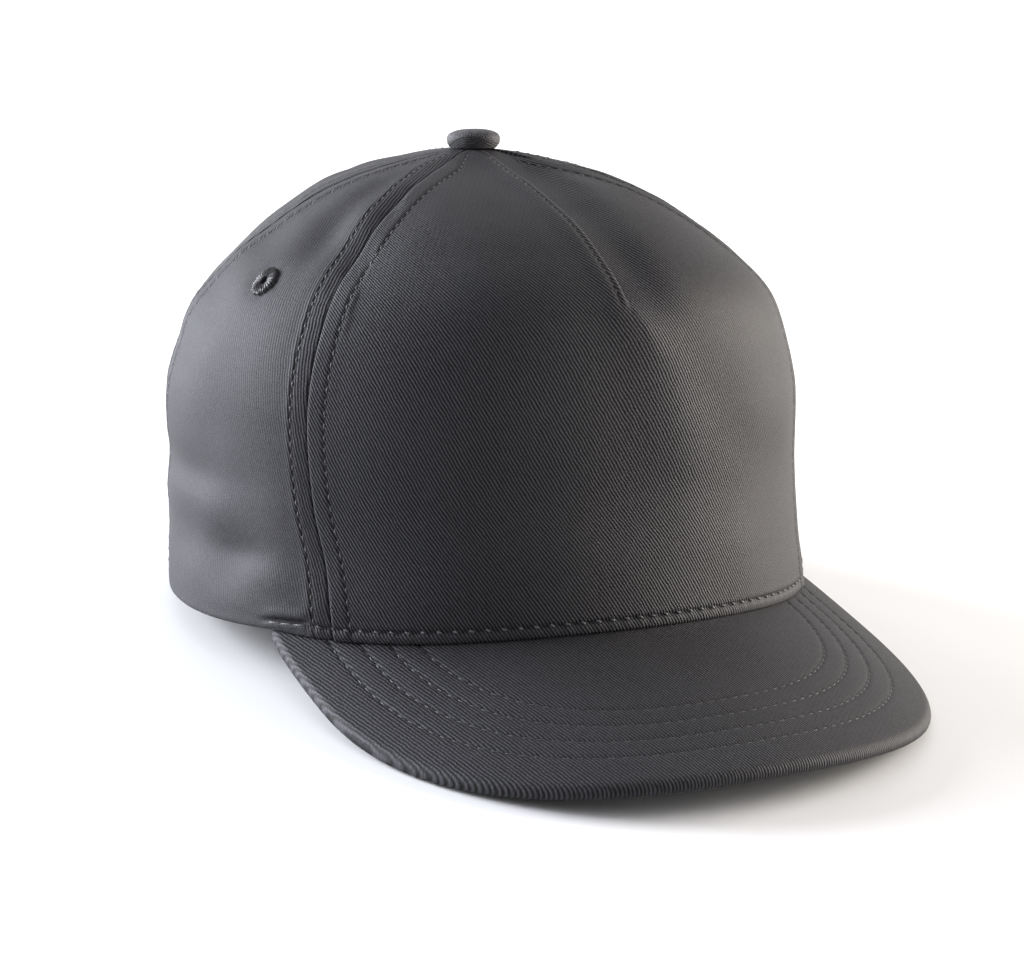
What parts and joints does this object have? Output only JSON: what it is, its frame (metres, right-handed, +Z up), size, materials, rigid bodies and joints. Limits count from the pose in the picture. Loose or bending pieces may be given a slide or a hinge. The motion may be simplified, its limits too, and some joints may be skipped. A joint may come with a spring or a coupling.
{
  "type": "snapback cap",
  "caption": "Snapback cap with a structured front panel, curved brim, covered button, eyelets and a closed plastic strap.",
  "frame": {"origin": "middle of the cap's box, on the surface that the cap rests on", "axes": "+Z up; +Y towards the back of the cap, so the brim points along -Y; +X towards the wearer's left"},
  "size_m": [0.1858, 0.2526, 0.1362],
  "materials": {
    "twill": "matte charcoal cotton twill",
    "thread": "charcoal sewing thread",
    "lining": "plain dark cotton band",
    "plastic": "satin black"
  },
  "bodies": {
    "root": {"front_panel": "twill", "side_panel_right": "twill", "side_panel_left": "twill", "back_panel_right": "twill", "back_panel_left": "twill", "brim": "twill", "top_button": "twill", "eyelet_side_right": "thread", "eyelet_side_left": "thread", "eyelet_back_right": "thread", "eyelet_back_left": "thread", "sweatband": "lining", "snap_strap": "plastic"}
  },
  "joints": []
}
